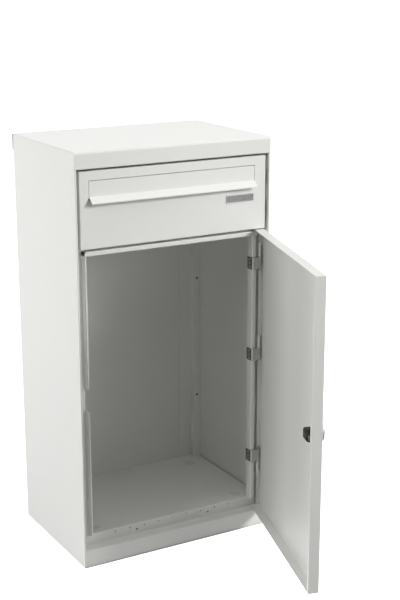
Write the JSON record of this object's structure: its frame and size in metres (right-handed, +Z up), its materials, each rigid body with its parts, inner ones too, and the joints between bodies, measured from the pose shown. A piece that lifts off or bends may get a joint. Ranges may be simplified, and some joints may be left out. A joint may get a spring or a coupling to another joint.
{
  "type": "parcel drop box",
  "caption": "Free-standing folded-steel parcel box: letter compartment with a flap door on top, lockable parcel compartment below with its door open.",
  "frame": {"origin": "middle of the base's underside, on the floor plane", "axes": "+Z up; +X towards the hinge side (right, seen from the front); the doors face -Y"},
  "size_m": [0.5136, 0.8101, 1],
  "materials": {
    "white_coat": "satin powder coat",
    "zinc": "zinc plated",
    "black_steel": "black passivated",
    "white_plastic": "moulded",
    "chrome": "polished",
    "black_plastic": "moulded, fine grain",
    "grey_plastic": "moulded",
    "label": "printed card, blank",
    "window": "clear"
  },
  "bodies": {
    "cabinet": {"left_side_panel": "white_coat", "right_side_panel": "white_coat", "top_cover": "white_coat", "cover_screws": "zinc", "back_panel": "white_coat", "rear_post_right": "white_coat", "rear_post_left": "white_coat", "rear_post_screws": "zinc", "inner_back_plate": "white_coat", "plinth": "white_coat", "base_plate": "white_coat", "floor_pan": "white_coat", "floor_plugs": "white_plastic", "parcel_lock_jamb": "white_coat", "parcel_hinge_jamb": "white_coat", "cross_rail": "white_coat", "letter_shelf": "white_coat", "letter_lock_jamb": "white_coat", "letter_hinge_jamb": "white_coat", "top_rail": "white_coat", "parcel_hinge_leaves": "zinc", "parcel_hinge_screws": "zinc", "letter_hinge_leaves": "zinc", "letter_hinge_screws": "zinc"},
    "parcel_door": {"parcel_door_tray": "white_coat", "parcel_hinge_pins": "white_coat", "parcel_pin_clips": "white_coat", "door_grip": "chrome", "grip_screws": "zinc", "lock_cylinder": "zinc", "lock_case": "black_plastic"},
    "lock_plug": {"lock_plug": "chrome"},
    "lock_bolt": {"lock_bolt": "black_steel"},
    "letter_door": {"letter_door_tray": "white_coat", "letter_hinge_pins": "white_coat", "letter_pin_clips": "white_coat", "flap_brackets": "zinc", "nameplate_holder": "grey_plastic", "nameplate_label": "label", "nameplate_window": "window"},
    "letter_flap": {"letter_flap": "white_coat", "flap_rod": "zinc"},
    "letter_latch": {"latch_bar": "zinc", "latch_knob": "black_plastic"}
  },
  "joints": [
    {"name": "parcel_door_hinge", "type": "hinge", "parent": "cabinet", "child": "parcel_door", "pos_m": [0.237, -0.1645, 0.411], "axis": [0, 0, 1], "range_deg": [-73, 32]},
    {"name": "lock_plug_turn", "type": "hinge", "parent": "parcel_door", "child": "lock_plug", "pos_m": [0.11587, -0.59489, 0.412], "axis": [0.9563, -0.2924, 0], "range_deg": [0, 90]},
    {"name": "lock_bolt_slide", "type": "slide", "parent": "parcel_door", "child": "lock_bolt", "axis": [-0.2924, -0.9563, 0], "range_m": [0, 0.0135]},
    {"name": "letter_door_hinge", "type": "hinge", "parent": "cabinet", "child": "letter_door", "pos_m": [0.237, -0.1645, 0.866], "axis": [0, 0, 1], "range_deg": [0, 105]},
    {"name": "letter_flap_hinge", "type": "hinge", "parent": "letter_door", "child": "letter_flap", "pos_m": [-0.0035, -0.1709, 0.9296], "axis": [1, 0, 0], "range_deg": [-75, 0]},
    {"name": "letter_latch_slide", "type": "slide", "parent": "cabinet", "child": "letter_latch", "axis": [-1, 0, 0], "range_m": [0, 0.009]}
  ],
  "couplings": [
    {"joint": "lock_bolt_slide", "follows": "lock_plug_turn", "m_per_rad": 0.0085943}
  ]
}
